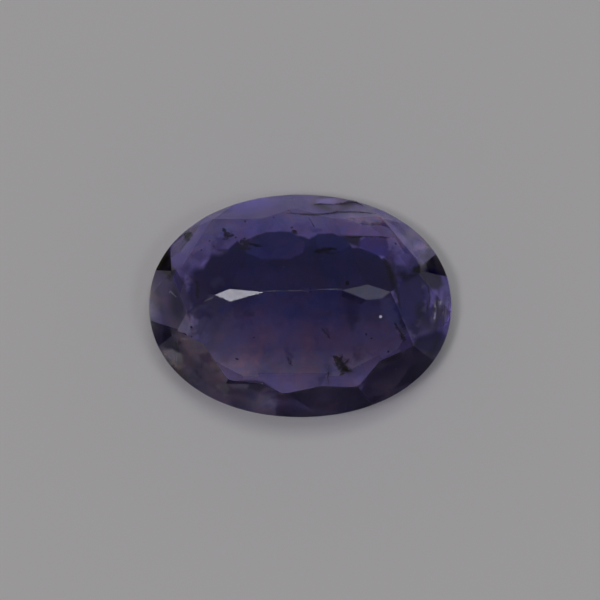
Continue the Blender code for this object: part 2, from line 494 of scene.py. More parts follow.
# Patches of painted light and shade on the inner facets, each of another tint, as (outline, softness, tint,
# share). The outlines are convex.
INNER_OUTLINES = (
    # Two blue lenses at the top of the field.
    (((-2.27, 2.52), (-2.11, 2.06), (-1.52, 1.83), (-0.41, 1.83), (0.10, 2.07), (0.20, 2.52), (-0.40, 2.87),
      (-1.35, 2.89)), 0.05, (0.19, 0.22, 0.37), 1.0),
    (((0.63, 2.30), (1.00, 2.12), (1.63, 2.16), (1.95, 2.34), (1.72, 2.68), (1.26, 2.82), (0.69, 2.82)),
     0.05, (0.16, 0.20, 0.36), 0.9),
    # The violet patch right of them, over a crisp dark edge.
    (((2.26, 2.32), (3.05, 1.98), (3.36, 1.92), (3.50, 2.30), (3.41, 2.70), (2.60, 2.72), (2.34, 2.54)),
     0.06, (0.32, 0.28, 0.56), 1.0),
    # The cloudy facet at the lower left starts above its own edge.
    (((-2.85, -3.25), (-1.60, -3.60), (-0.66, -3.54), (-1.44, -3.02), (-1.70, -2.95), (-2.95, -2.95)),
     0.04, (0.25, 0.23, 0.22), 0.9),
    # The brown smudge under the brown line.
    (((1.62, 2.76), (1.88, 2.44), (2.30, 2.30), (2.42, 2.74)), 0.08, (0.11, 0.11, 0.15), 0.95),
    # The V of the field's image below the keel.
    (((-1.45, 0.16), (-0.59, -0.48), (1.50, -0.50), (1.80, 0.20)), 0.12, (0.23, 0.26, 0.28), 0.75),
    # The dark wedge under the right kite, and the dark band down from it.
    (((1.66, 0.57), (1.60, 0.36), (2.38, 0.04), (2.56, 0.17)), 0.04, (0.13, 0.15, 0.16), 1.0),
    (((1.86, 0.32), (1.84, -0.55), (2.06, -1.00), (2.30, -0.60), (2.28, 0.20)),
     0.14, (0.18, 0.19, 0.18), 0.9),
)
# The same as ovals, as (middle, half axes, turn, core, tint, share).
INNER_OVALS = (
    ((-4.04, 0.62), (0.58, 0.74), -10, 0.5, (0.09, 0.06, 0.17), 1.0),
    ((-3.30, 0.95), (0.42, 0.30), 0, 0.3, (0.14, 0.13, 0.21), 1.0),
    ((-2.45, -0.45), (0.70, 0.35), 0, 0.2, (0.40, 0.38, 0.35), 0.7),
    ((-2.95, -1.95), (0.50, 0.40), 0, 0.1, (0.38, 0.35, 0.33), 0.3),
    ((-2.95, -2.80), (0.45, 0.25), 0, 0.1, (1.00, 0.98, 0.66), 0.8),
    ((-2.90, -0.10), (0.45, 0.20), 30, 0.3, (0.22, 0.24, 0.36), 0.5),
    ((-4.66, -0.76), (0.72, 0.60), 0, 0.45, (1.00, 1.00, 0.76), 1.0),
    ((-3.75, -0.30), (0.50, 0.34), 0, 0.1, (0.16, 0.14, 0.22), 0.7),
    ((-3.20, 2.42), (0.50, 0.32), 20, 0.2, (0.34, 0.32, 0.50), 0.85),
    ((-3.95, 1.95), (0.48, 0.36), 0, 0.1, (0.42, 0.40, 0.58), 0.85),
    ((0.00, 3.10), (0.55, 0.25), 0, 0.1, (0.60, 0.58, 0.86), 0.8),
    ((-2.90, 3.10), (0.80, 0.35), 10, 0.2, (0.86, 0.85, 1.00), 0.7),
    ((-3.60, 3.02), (0.62, 0.48), 30, 0.3, (0.90, 0.89, 1.00), 0.85),
    ((-2.10, -0.55), (0.42, 0.20), -50, 0.3, (0.18, 0.18, 0.26), 0.3),
    ((3.30, -1.90), (0.70, 0.42), 20, 0.2, (0.42, 0.38, 0.46), 0.7),
    # Shadows round the dark crystals and cracks.
    ((-2.25, 2.36), (0.45, 0.32), 0, 0.2, (0.07, 0.08, 0.08), 0.9),
    ((-2.88, 2.78), (0.30, 0.30), -30, 0.1, (0.20, 0.18, 0.30), 0.8),
    ((3.62, 2.00), (0.46, 0.40), 0, 0.3, (0.25, 0.22, 0.42), 0.9),
    ((-5.15, 1.30), (0.30, 0.60), 0, 0.2, (0.16, 0.14, 0.16), 0.9),
    ((1.05, 2.18), (0.58, 0.18), 0, 0.2, (0.06, 0.07, 0.10), 0.9),
    ((3.62, 1.35), (0.34, 0.90), 14, 0.2, (0.05, 0.05, 0.10), 0.9),
    ((1.75, -2.40), (0.55, 0.30), -45, 0.1, (0.18, 0.16, 0.12), 0.85),
    ((2.26, -1.98), (0.30, 0.42), 0, 0.1, (0.26, 0.22, 0.20), 0.85),
    ((1.08, -1.10), (0.16, 0.40), 35, 0.1, (0.20, 0.19, 0.17), 0.7),
    ((-0.45, -1.90), (0.22, 0.50), 10, 0.1, (0.27, 0.26, 0.26), 0.6),
    ((-2.00, -0.30), (0.30, 0.16), 10, 0.1, (0.20, 0.18, 0.20), 0.6),
    ((1.20, -2.60), (0.22, 0.45), 0, 0.1, (0.36, 0.36, 0.34), 0.6),
    ((-3.02, 2.16), (0.30, 0.22), 0, 0.1, (0.16, 0.15, 0.25), 0.8),
    ((0.95, -2.96), (0.45, 0.22), 0, 0.1, (0.44, 0.46, 0.34), 0.7),
    ((0.59, 3.02), (0.30, 0.20), 0, 0.1, (0.46, 0.46, 0.66), 0.7),
    ((2.30, -2.98), (0.35, 0.22), 0, 0.1, (1.05, 1.08, 0.88), 0.8),
    ((4.50, -1.00), (0.26, 0.22), 0, 0.1, (0.08, 0.06, 0.16), 0.7),
    ((-0.42, -3.28), (0.62, 0.32), 0, 0.3, (1.30, 1.40, 0.86), 0.9),
    ((-2.82, -2.94), (0.58, 0.26), 0, 0.3, (1.30, 1.28, 0.78), 0.9),
    ((-3.78, -1.37), (0.38, 0.32), 0, 0.1, (0.62, 0.57, 0.47), 0.6),
    ((-4.18, -1.37), (0.32, 0.28), 0, 0.2, (0.86, 0.80, 0.68), 0.7),
)
# Patches of painted light and shade that cross from the inner facets to the rim, the same way.
WIDE_OUTLINES = (
    # The blue strip down from the right kite.
    (((3.15, 0.32), (3.20, -0.20), (3.62, -0.80), (4.08, -0.80), (3.88, -0.20), (3.60, 0.32)), 0.12,
     (0.24, 0.31, 0.37), 0.9),
    # The dark band below the dark facet of the right end, the shadow beside it and the dark corner below.
    (((4.88, 1.08), (5.05, 0.70), (5.42, 0.58), (5.70, 0.80), (5.60, 1.22), (5.30, 1.48), (4.96, 1.42)), 0.11,
     (0.03, 0.01, 0.13), 0.95),
    (((4.40, 1.49), (4.58, 1.17), (4.84, 0.85), (5.00, 0.90), (4.96, 1.33), (4.80, 1.61), (4.62, 1.64)),
     0.12, (0.09, 0.07, 0.30), 0.78),
    (((4.44, -1.30), (4.60, -1.75), (5.40, -1.95), (5.80, -1.25), (5.62, -0.98), (4.92, -1.12)),
     0.14, (0.03, 0.02, 0.18), 0.95),
    # The pale strip at the left end.
    (((-5.03, 1.29), (-4.90, 0.60), (-4.36, -0.51), (-4.32, 0.20), (-4.62, 1.10)), 0.08,
     (0.22, 0.19, 0.25), 0.9),
)
WIDE_OVALS = (
    ((4.35, 0.30), (0.85, 1.90), 5, 0.50, (0.08, 0.08, 0.25), 0.95),
    ((4.25, 1.85), (0.70, 0.70), 0, 0.2, (0.58, 0.56, 0.82), 0.85),
    ((-5.16, 1.44), (0.36, 0.50), 15, 0.5, (0.13, 0.13, 0.07), 0.95),
    ((-4.62, 1.42), (0.34, 0.40), 0, 0.3, (0.42, 0.38, 0.60), 0.8),
    ((4.85, -0.72), (0.42, 0.40), 0, 0.2, (0.30, 0.28, 0.26), 0.7),
    ((4.52, -0.86), (0.32, 0.34), 0, 0.2, (0.08, 0.07, 0.20), 0.9),
    ((4.10, -1.00), (0.38, 0.30), -50, 0.3, (0.60, 0.55, 0.64), 0.8),
    ((3.09, 3.40), (0.26, 0.22), 0, 0.2, (0.56, 0.66, 0.94), 0.85),
)
# Patches of painted light and shade on the rim facets, the same way.
RIM_OUTLINES = (
    # On the cloudy facet at the lower left, painted light and shade: a shadow, the dark right side, the dark
    # edge and the pale strip.
    (((-2.05, -3.28), (-1.62, -3.40), (-1.25, -3.18), (-1.45, -3.05), (-2.05, -3.05)),
     0.09, (0.25, 0.25, 0.20), 1.0),
    (((-0.97, -4.60), (-0.20, -4.60), (-0.20, -3.50), (-0.97, -3.50)), 0.07, (0.24, 0.23, 0.19), 1.0),
    (((-2.95, -3.10), (-1.50, -3.10), (-1.62, -2.96), (-2.85, -2.92)), 0.03, (0.14, 0.13, 0.14), 1.0),
    (((-2.66, -3.29), (-2.10, -3.27), (-2.05, -3.14), (-2.80, -3.14)), 0.06, (0.60, 0.58, 0.50), 1.0),
)
# Patches of painted light and shade on the rim, with even edges. The last two let the facet at the left end
# darken from the girdle in.
EVEN_SHADES = (
    ((1.30, 4.06), (1.15, 0.44), -4, 0.45, (0.41, 0.40, 0.34), 1.0),
    ((1.25, 4.42), (1.05, 0.20), -7, 0.30, (0.42, 0.40, 0.34), 1.0),
    ((3.92, 3.06), (0.55, 0.26), -45, 0.20, (0.54, 0.48, 0.84), 0.9),
    ((3.17, 3.74), (0.45, 0.22), -25, 0.20, (0.58, 0.50, 0.92), 0.9),
    ((4.18, 3.20), (0.38, 0.20), -45, 0.20, (0.66, 0.60, 0.98), 0.9),
    ((4.76, 2.38), (0.55, 0.38), -50, 0.30, (0.76, 0.70, 1.00), 1.0),
    ((-4.58, 2.58), (1.05, 0.42), 46, 0.50, (0.90, 0.85, 1.00), 1.0),
    ((-6.05, 0.00), (0.85, 1.80), 0, 0.10, (0.84, 0.92, 0.44), 1.0),
    ((-4.80, 0.15), (0.60, 1.40), 0, 0.20, (0.05, 0.04, 0.13), 1.0),
)
# Patches of painted light and shade on the rim, with ragged edges.
RIM_OVALS = (
    ((3.52, -2.06), (0.60, 0.27), 25, 0.2, (0.13, 0.13, 0.09), 0.85),
    ((-3.72, -2.12), (0.42, 0.36), -30, 0.20, (0.36, 0.31, 0.28), 0.9),
    ((-1.12, -3.48), (0.40, 0.30), 0, 0.20, (0.28, 0.26, 0.28), 0.9),
    ((-5.05, -2.05), (0.80, 0.42), -45, 0.20, (0.80, 0.80, 0.64), 1.0),
    ((-1.42, -3.80), (0.75, 0.42), 15, 0.20, (0.62, 0.62, 0.52), 1.0),
    ((-5.16, -1.54), (0.52, 0.32), -40, 0.40, (0.11, 0.10, 0.13), 0.95),
    ((5.20, -0.85), (0.60, 0.40), 10, 0.30, (0.45, 0.44, 0.32), 0.8),
    ((-4.25, -2.85), (0.60, 0.30), -35, 0.20, (0.66, 0.64, 0.52), 0.6),
    ((-4.05, -2.75), (0.35, 0.20), -35, 0.10, (0.30, 0.26, 0.26), 0.5),
    ((4.72, 1.22), (0.40, 0.50), 20, 0.10, (0.10, 0.08, 0.12), 0.9),
    ((2.55, 3.98), (0.75, 0.25), -10, 0.30, (0.90, 0.84, 0.96), 0.7),
    ((4.98, -0.60), (0.28, 0.35), 10, 0.20, (0.22, 0.20, 0.24), 0.7),
    ((-4.46, 2.78), (0.28, 0.20), 10, 0.30, (0.24, 0.20, 0.38), 0.95),
    ((-3.08, -3.25), (0.42, 0.26), -35, 0.20, (0.76, 0.76, 0.54), 0.8),
)
# Ovals of cloud under the surface, as (middle, half axes, turn, core, haze).
HAZE_OVALS = (
    ((2.55, 3.56), (1.25, 0.46), -6, 0.4, 0.33),
    ((0.30, 3.55), (1.40, 0.42), 0, 0.4, 0.06),
    ((1.15, 4.12), (1.00, 0.34), -4, 0.2, 0.20),
    ((5.50, -0.20), (0.32, 0.65), 0, 0.3, 0.17),
    ((4.76, 2.38), (0.46, 0.32), -50, 0.2, 0.28),
    ((-4.58, 2.58), (1.05, 0.42), 46, 0.4, 0.05),
    ((5.44, -0.20), (0.14, 0.65), 4, 0.3, 0.22),
    ((4.35, 2.70), (1.1, 0.8), -40, 0.3, 0.22),
    ((-4.75, -0.90), (0.5, 0.45), 0, 0.2, 0.05),
    ((-1.42, -3.80), (0.75, 0.42), 15, 0.2, 0.06),
    ((-5.05, -2.05), (0.80, 0.42), -45, 0.2, 0.08),
    ((-5.98, 0.00), (0.50, 1.50), 0, 0.2, 0.05),
)
# Pale and dark streaks at the right end, and the oval that has them. A grain is (size, detail, roughness and
# distortion) of noise.
STREAKS = (
    (0.40, (0.40, 0.38, 0.50)),
    (0.50, (1.00, 0.98, 1.00)),
    (0.60, (1.35, 1.36, 1.45)),
)
STREAKED_END = ((5.40, -0.05), (0.60, 1.15), 0, 0.4)
STREAK_GRAIN, STREAK_STRETCH = (0.16, 3.0, 0.6), 0.12
# Blotches over all of the stone, from the colder to the warmer and paler ones.
MOTTLE = (
    (0.30, (0.74, 0.80, 0.86)),
    (0.45, (0.92, 0.94, 0.96)),
    (0.55, (1.00, 0.98, 0.97)),
    (0.70, (1.18, 1.06, 1.00)),
)
MOTTLE_GRAIN = (0.7, 4.0, 0.6, 0.6)
# Wider blotches of the inner facets, from the bluer to the redder ones.
HUES = (
    (0.36, (0.90, 0.98, 1.12)),
    (0.50, (1.00, 1.00, 1.00)),
    (0.64, (1.12, 0.98, 0.92)),
)
HUE_GRAIN = (1.0, 3.0, 0.6, 1.0)
# How far apart and how far noise moves the edges of the patches, for soft and for ragged edges.
SOFT_EDGES, RAGGED_EDGES = (0.45, 0.14), (0.35, 0.70)


def with_outlines(finish, places, tint, outlines):
    for corners, softness, colour, share in outlines:
        patch = finish.maths("MULTIPLY", finish.within(places, corners, softness), share)
        tint = finish.mixed(patch, tint, (*colour, 1.0))
    return tint


def with_ovals(finish, places, tint, ovals):
    for middle, size, turn, core, colour, share in ovals:
        patch = finish.maths("MULTIPLY", finish.patch(places, middle, size, turn, core), share)
        tint = finish.mixed(patch, tint, (*colour, 1.0))
    return tint


def painted_shade_and_tone(finish, straight, soft, ragged):
    """The stone's tint at each place: painted light and shade of what is seen through it, with
    blotches and streaks of tone.
    """
    across, up = finish.node("SeparateXYZ", soft).outputs[:2]
    zone = finish.node("Attribute", attribute_name="facet_zone").outputs["Fac"]
    facet = finish.node("Attribute", attribute_name="facet_shade").outputs["Color"]
    edge = finish.height_of(soft, FIELD_EDGE, *FIELD_REACH)
    softness = finish.between(across, *FIELD_SOFTNESS[0], *FIELD_SOFTNESS[1])
    below_edge = finish.maths("SUBTRACT", edge, up)
    in_field = finish.between(below_edge, finish.maths("MULTIPLY", softness, -1.0), softness)
    for span in (FIELD_LEFT, FIELD_RIGHT):
        in_field = finish.maths("MULTIPLY", in_field, finish.between(across, *span))
    deep = finish.mixed(1.0, finish.ramp(up, FIELD_TINTS), facet, "MULTIPLY")
    upper = finish.mixed(in_field, finish.ramp(across, BAND_TINTS), deep)
    lower = finish.mixed(1.0, finish.ramp(up, LOWER_TINTS), finish.ramp(across, LOWER_SIDES), "MULTIPLY")
    inner = finish.mixed(finish.maths("GREATER_THAN", zone, (UPPER_ZONE + LOWER_ZONE) / 2), upper, lower)
    inner = with_outlines(finish, straight, inner, INNER_OUTLINES)
    inner = with_ovals(finish, ragged, inner, INNER_OVALS)
    inner = finish.mixed(1.0, inner, finish.blotches(soft, HUE_GRAIN, HUES), "MULTIPLY")
    rim = with_outlines(finish, straight, facet, RIM_OUTLINES)
    rim = with_ovals(finish, straight, rim, EVEN_SHADES)
    rim = with_ovals(finish, ragged, rim, RIM_OVALS)
    tint = finish.mixed(finish.maths("GREATER_THAN", zone, (RIM_ZONE + UPPER_ZONE) / 2), rim, inner)
    tint = with_outlines(finish, soft, tint, WIDE_OUTLINES)
    tint = with_ovals(finish, ragged, tint, WIDE_OVALS)
    stretched = finish.node("Mapping", straight)
    stretched.inputs["Scale"].default_value = (1.0, STREAK_STRETCH, 1.0)
    streaks = finish.blotches(stretched.outputs[0], STREAK_GRAIN, STREAKS)
    streaked = finish.mixed(1.0, tint, streaks, "MULTIPLY")
    tint = finish.mixed(finish.patch(straight, *STREAKED_END), tint, streaked)
    return finish.mixed(1.0, tint, finish.blotches(straight, MOTTLE_GRAIN, MOTTLE), "MULTIPLY")


def polished_iolite():
    finish = Finish("polished_iolite")
    straight = finish.places()
    soft = finish.wandering(straight, *SOFT_EDGES)
    ragged = finish.wandering(straight, *RAGGED_EDGES)
    tint = painted_shade_and_tone(finish, straight, soft, ragged)
    haze = finish.node("Attribute", attribute_name="facet_haze").outputs["Fac"]
    for middle, size, turn, core, amount in HAZE_OVALS:
        cloud = finish.maths("MULTIPLY", finish.patch(ragged, middle, size, turn, core), amount)
        haze = finish.maths("ADD", haze, cloud)
    polish = finish.node("Attribute", attribute_name="facet_roughness").outputs["Fac"]
    # The shader lets the square root of its colour through, and light on its way out isn't tinted again.
    squared = finish.mixed(1.0, tint, tint, "MULTIPLY")
    inside = finish.node("NewGeometry").outputs["Backfacing"]
    finish.set(
        Base_Color=finish.mixed(inside, squared, (*CLEAR, 1.0)),
        Roughness=polish,
        Transmission_Weight=finish.maths("SUBTRACT", 1.0, haze),
        IOR=REFRACTION,
        Specular_Tint=(SURFACE_SHINE, SURFACE_SHINE, SURFACE_SHINE, 1.0),
    )
    body = finish.node("VolumeAbsorption", BODY_COLOUR, ABSORPTION)
    finish.put(finish.output.inputs["Volume"], body.outputs[0])
    return finish.material


# Cracks and veins inside the stone, and two dark films of painted shade, each as (depth, route). A route is
# of (across, up, width).
CRACKS_AND_SHADE_FILMS = (
    (-0.004, ((0.55, 3.99, 0.024), (0.87, 4.01, 0.060), (1.30, 4.00, 0.060), (1.70, 4.02, 0.079),
              (1.98, 4.08, 0.119), (2.22, 4.06, 0.100), (2.40, 4.00, 0.050), (2.52, 3.94, 0.020))),
    (-0.004, ((-0.56, 3.66, 0.020), (-0.01, 3.62, 0.044), (0.47, 3.60, 0.060), (0.87, 3.61, 0.060),
              (1.18, 3.64, 0.072), (1.50, 3.69, 0.095), (1.98, 3.70, 0.068), (2.38, 3.69, 0.060),
              (2.77, 3.66, 0.040), (3.01, 3.64, 0.020))),
    (0.12, ((1.78, 2.75, 0.032), (2.06, 2.72, 0.064), (2.57, 2.74, 0.048), (3.05, 2.73, 0.040),
            (3.33, 2.71, 0.068), (3.57, 2.69, 0.032))),
    (0.15, ((3.29, 1.88, 0.060), (3.41, 1.68, 0.120), (3.52, 1.50, 0.140), (3.60, 1.34, 0.090),
            (3.68, 1.14, 0.190), (3.76, 0.90, 0.150), (3.80, 0.66, 0.160), (3.90, 0.40, 0.090),
            (3.94, 0.12, 0.060), (3.98, -0.14, 0.030))),
    (0.12, ((5.02, 0.81, 0.028), (5.12, 0.57, 0.064), (5.16, 0.33, 0.075), (5.11, 0.06, 0.072),
            (5.06, -0.14, 0.040))),
    (0.12, ((3.75, -0.68, 0.024), (3.83, -0.86, 0.060), (3.97, -1.04, 0.075), (4.08, -1.26, 0.111),
            (4.20, -1.41, 0.056))),
    # A dark smear and a dark crust at the top of the field, as dark films of painted shade.
    (0.20, ((0.58, 2.12, 0.050), (0.70, 2.16, 0.110), (0.95, 2.24, 0.090), (1.25, 2.26, 0.080),
            (1.45, 2.24, 0.040))),
    (0.20, ((-1.95, 2.42, 0.040), (-1.80, 2.39, 0.090), (-1.62, 2.38, 0.080), (-1.48, 2.36, 0.030))),
    (0.15, ((-4.14, 0.97, 0.024), (-4.08, 0.73, 0.087), (-4.09, 0.49, 0.111), (-4.07, 0.25, 0.048))),
)
# The dark stars at the right and left ends, the same way.
STARS = (
    (0.15, ((4.50, 1.34, 0.040), (4.64, 1.41, 0.170), (4.78, 1.45, 0.130), (4.90, 1.42, 0.040))),
    (0.17, ((4.68, 1.64, 0.030), (4.73, 1.47, 0.140), (4.81, 1.30, 0.150), (4.91, 1.14, 0.110),
            (4.99, 0.97, 0.050))),
    (0.16, ((4.95, 1.36, 0.030), (4.91, 1.22, 0.130), (4.98, 1.04, 0.130), (5.06, 0.88, 0.040))),
    (0.09, ((-4.58, 2.86, 0.080), (-4.52, 2.80, 0.190), (-4.42, 2.75, 0.170), (-4.26, 2.74, 0.040))),
    (0.10, ((-4.64, 2.68, 0.040), (-4.50, 2.71, 0.140), (-4.41, 2.84, 0.140), (-4.35, 2.95, 0.030))),
)
# The finest veins, the same way.
FINE_VEINS = (
    (0.10, ((1.62, 3.54, 0.020), (1.90, 3.45, 0.032), (2.22, 3.46, 0.032), (2.38, 3.52, 0.020))),
    (0.10, ((2.40, 3.51, 0.024), (2.51, 3.42, 0.040), (2.61, 3.27, 0.032), (2.67, 3.19, 0.016))),
    (0.10, ((0.33, 3.49, 0.020), (0.43, 3.35, 0.036), (0.53, 3.17, 0.036), (0.59, 3.11, 0.016))),
    (0.10, ((-0.80, 3.98, 0.016), (-0.56, 3.83, 0.028), (-0.37, 3.70, 0.028), (-0.25, 3.65, 0.016))),
    (0.15, ((1.12, -3.12, 0.020), (1.10, -2.84, 0.040), (1.13, -2.57, 0.032), (1.14, -2.33, 0.016))),
    (0.20, ((-0.54, -2.02, 0.020), (-0.46, -2.15, 0.070), (-0.38, -2.28, 0.090), (-0.31, -2.40, 0.020))),
    (0.20, ((0.80, -0.88, 0.020), (0.98, -1.06, 0.060), (1.12, -1.22, 0.070), (1.22, -1.32, 0.020))),
)
# Scratches and worn edges on the polish, the same way.
SCRATCHES = (
    (-0.004, ((-5.20, 0.59, 0.020), (-5.05, 0.47, 0.040), (-4.90, 0.33, 0.020))),
    (-0.004, ((-5.23, 0.46, 0.016), (-5.15, 0.55, 0.028), (-5.09, 0.59, 0.016))),
    (0.05, ((-2.83, -3.11, 0.016), (-2.39, -3.11, 0.036), (-1.99, -3.13, 0.016))),
    (0.05, ((-2.75, -3.19, 0.020), (-2.35, -3.19, 0.040), (-1.99, -3.21, 0.020))),
    (0.05, ((-2.67, -3.27, 0.016), (-2.31, -3.27, 0.032), (-1.99, -3.28, 0.016))),
    (-0.004, ((-4.69, -1.32, 0.016), (-4.55, -1.31, 0.032), (-4.42, -1.35, 0.016))),
    (-0.004, ((-3.42, 0.33, 0.010), (-3.56, 0.27, 0.024), (-3.70, 0.23, 0.040), (-3.82, 0.14, 0.012))),
    (0.10, ((3.93, -0.83, 0.016), (4.04, -1.02, 0.036), (4.19, -1.21, 0.016))),
)
# Pale films along the worn keel, the same way: wear, and a painted highlight of the light that it catches.
KEEL_WEAR_AND_HIGHLIGHT = (
    (-0.004, ((-1.52, 0.56, 0.012), (-1.28, 0.56, 0.032), (-1.04, 0.57, 0.032), (-0.76, 0.58, 0.012))),
    (-0.004, ((-0.60, 0.58, 0.012), (-0.33, 0.58, 0.024), (-0.01, 0.59, 0.024), (0.19, 0.60, 0.012))),
    (-0.004, ((0.71, 0.62, 0.012), (1.03, 0.63, 0.032), (1.38, 0.64, 0.040), (1.66, 0.66, 0.012))),
)
# Dark crystals, each as (depth, spots). A spot is (across, up, width, height, turn in degrees).
DARK_CRYSTALS = (
    (0.50, ((-2.92, 2.81, 0.199, 0.222, 30), (-3.02, 2.99, 0.103, 0.215, 35), (-2.77, 2.76, 0.238, 0.095, 10),
            (-2.97, 2.65, 0.199, 0.103, 0), (-2.56, 2.70, 0.072, 0.060, 0))),
    (0.40, ((-2.33, 2.55, 0.119, 0.135, 0), (-2.21, 2.66, 0.064, 0.072, 0), (-2.03, 2.45, 0.087, 0.072, 0))),
    (0.30, ((2.83, 3.24, 0.135, 0.068, 25), (3.10, 3.27, 0.151, 0.111, -35), (3.47, 3.63, 0.111, 0.091, 0),
            (2.98, 3.74, 0.064, 0.048, 0))),
    (0.40, ((0.66, 2.14, 0.120, 0.080, 10), (1.88, 0.89, 0.120, 0.170, 0))),
    (0.20, ((-4.44, 2.81, 0.120, 0.110, 20), (-4.29, 2.75, 0.100, 0.055, 0), (-4.54, 2.71, 0.080, 0.070, 0),
            (4.94, -1.52, 0.143, 0.087, 0), (4.62, -1.51, 0.095, 0.079, 0), (3.50, -1.84, 0.064, 0.087, 0))),
    (0.25, ((-2.51, -2.13, 0.120, 0.056, -20), (-3.30, -2.61, 0.167, 0.111, 0),
            (-2.19, -3.88, 0.135, 0.087, 0), (-2.61, -3.77, 0.079, 0.056, 0))),
    (0.30, ((-4.33, -0.86, 0.072, 0.079, 0), (-4.32, -1.24, 0.060, 0.068, 0),
            (-2.19, 3.34, 0.103, 0.052, -45), (-3.44, 2.34, 0.068, 0.095, 20),
            (-3.60, 2.56, 0.056, 0.056, 0), (-3.93, 2.19, 0.060, 0.075, 0),
            (3.79, 2.46, 0.064, 0.087, 0), (-1.06, 3.50, 0.060, 0.072, 0), (-1.84, -1.28, 0.072, 0.055, 0),
            (-5.00, 2.34, 0.056, 0.064, 0), (-5.01, -2.22, 0.064, 0.064, 0), (0.41, 0.56, 0.064, 0.064, 0))),
)
# The brown feather and an olive streak, as films like the cracks.
FEATHERS = (
    (0.20, ((1.28, -1.98, 0.020), (1.45, -2.12, 0.090), (1.58, -2.27, 0.110), (1.66, -2.38, 0.050))),
    (0.22, ((1.52, -2.20, 0.030), (1.68, -2.36, 0.120), (1.80, -2.50, 0.100), (1.92, -2.62, 0.040))),
    (0.18, ((1.66, -2.40, 0.030), (1.86, -2.52, 0.140), (2.02, -2.58, 0.100), (2.12, -2.60, 0.030))),
    (0.24, ((1.80, -2.46, 0.030), (1.78, -2.60, 0.100), (1.66, -2.74, 0.100), (1.60, -2.80, 0.030))),
    (0.26, ((1.38, -2.00, 0.040), (1.54, -2.20, 0.140), (1.70, -2.42, 0.160), (1.88, -2.60, 0.050))),
    (0.28, ((1.34, -2.16, 0.030), (1.50, -2.34, 0.130), (1.66, -2.56, 0.130), (1.74, -2.72, 0.030))),
    (0.20, ((1.66, -1.92, 0.020), (1.64, -2.08, 0.070), (1.62, -2.22, 0.050))),
    (0.22, ((1.22, -2.02, 0.020), (1.34, -2.04, 0.060), (1.48, -2.10, 0.030))),
    (0.18, ((1.95, -2.10, 0.020), (1.86, -2.24, 0.050), (1.74, -2.38, 0.030))),
)
BROWN_CRYSTALS = (
    (0.30, ((-0.25, 2.93, 0.170, 0.140, 0), (-0.34, 3.09, 0.072, 0.087, 0), (-0.16, 2.86, 0.090, 0.080, 0),
            (2.62, -1.15, 0.070, 0.090, 20), (2.83, -1.31, 0.075, 0.070, 0))),
)
# Pale specks, the same way. The first is a painted glint: a white bead that stands for the highlight of a pit
# in the polish.
PALE_SPECKS_AND_GLINT = (
    (-0.01, ((3.19, -0.44, 0.090, 0.085, 0),)),
    (0.20, ((-0.66, 1.53, 0.027, 0.063, 0), (-1.75, 0.06, 0.027, 0.029, 0), (-2.11, 3.31, 0.032, 0.027, 0),
            (-0.32, 3.04, 0.035, 0.029, 0), (0.85, 1.86, 0.069, 0.032, 20), (4.62, 2.19, 0.063, 0.048, 0),
            (1.76, 1.12, 0.021, 0.058, 0), (4.40, 1.50, 0.043, 0.024, 0), (-0.61, 3.38, 0.027, 0.027, 0),
            (-5.08, -1.18, 0.040, 0.032, 0), (-1.53, -3.15, 0.032, 0.043, 0), (3.81, -2.53, 0.032, 0.027, 0),
            (2.63, -1.37, 0.032, 0.027, 0), (-4.28, -0.50, 0.027, 0.027, 0), (4.68, 2.32, 0.027, 0.027, 0))),
)
# The pieces made of films, as (piece, routes, finish). A finish is (name, dark colour, light colour, size of
# its blotches, roughness, least cover, most cover).
FILMS = (
    # Real cracks, with the two dark films of painted shade among them.
    ("cracks", CRACKS_AND_SHADE_FILMS,
     ("crack_dirt_and_shade", (0.010, 0.008, 0.014), (0.05, 0.035, 0.06), 0.25, 0.7, 0.32, 0.95)),
    ("dark_stars", STARS,
     ("star_dirt", (0.010, 0.008, 0.016), (0.045, 0.032, 0.06), 0.16, 0.7, 0.45, 0.95)),
    ("fine_veins", FINE_VEINS,
     ("vein_film", (0.02, 0.015, 0.04), (0.06, 0.04, 0.09), 0.2, 0.7, 0.05, 0.55)),
    ("feathers", FEATHERS,
     ("brown_feather", (0.020, 0.012, 0.014), (0.09, 0.075, 0.03), 0.16, 0.7, 0.10, 0.80)),
    ("scratches", SCRATCHES,
     ("bright_scratch", (0.3, 0.28, 0.4), (0.65, 0.62, 0.75), 0.10, 0.5, 0.0, 0.6)),
    # Wear along the keel, and a painted highlight on it.
    ("worn_keel_highlight", KEEL_WEAR_AND_HIGHLIGHT,
     ("worn_edge_highlight", (0.2, 0.18, 0.3), (0.5, 0.48, 0.6), 0.15, 0.5, 0.1, 0.5)),
)
# Finishes of the crystals, the same way, and of the specks and the painted glint, which are covered all over.
DARK_CRYSTAL = ("dark_crystal", (0.010, 0.008, 0.020), (0.05, 0.035, 0.08), 0.08, 0.5, 0.20, 0.75)
BROWN_CRYSTAL = ("brown_crystal", (0.015, 0.010, 0.012), (0.08, 0.065, 0.03), 0.1, 0.5, 0.2, 0.7)
PALE_SPECK_AND_GLINT = ("pale_speck_and_glint", (0.75, 0.72, 0.90), (0.95, 0.93, 1.0), 0.05, 0.4)

FILM_THICKNESS = 0.012
# A film fades toward its uneven edges, so it is made this much wider than it looks.
FILM_SPREAD = 2.5
EDGE_UNEVENNESS = 0.7
# It ends this far from its middle line, as a share of its width.
FILM_END = 0.45
# Levels of noise between which blotches turn from dark to light, and crystals and films from least to most.
BLOTCH_LEVELS, CRYSTAL_LEVELS, FILM_LEVELS = (0.3, 0.7), (0.35, 0.6), (0.40, 0.58)
# The detail of blotches, and (detail, roughness) of the noise in a film and along its edges.
BLOTCH_DETAIL = 3.0
FILM_GRAIN, EDGE_GRAIN = (5.0, 0.7), (3.0, 0.7)
# How rough a crystal is and how flat it lies, as shares of its width.
CRYSTAL_ROUGHNESS = 0.16
CRYSTAL_FLATNESS = 0.6
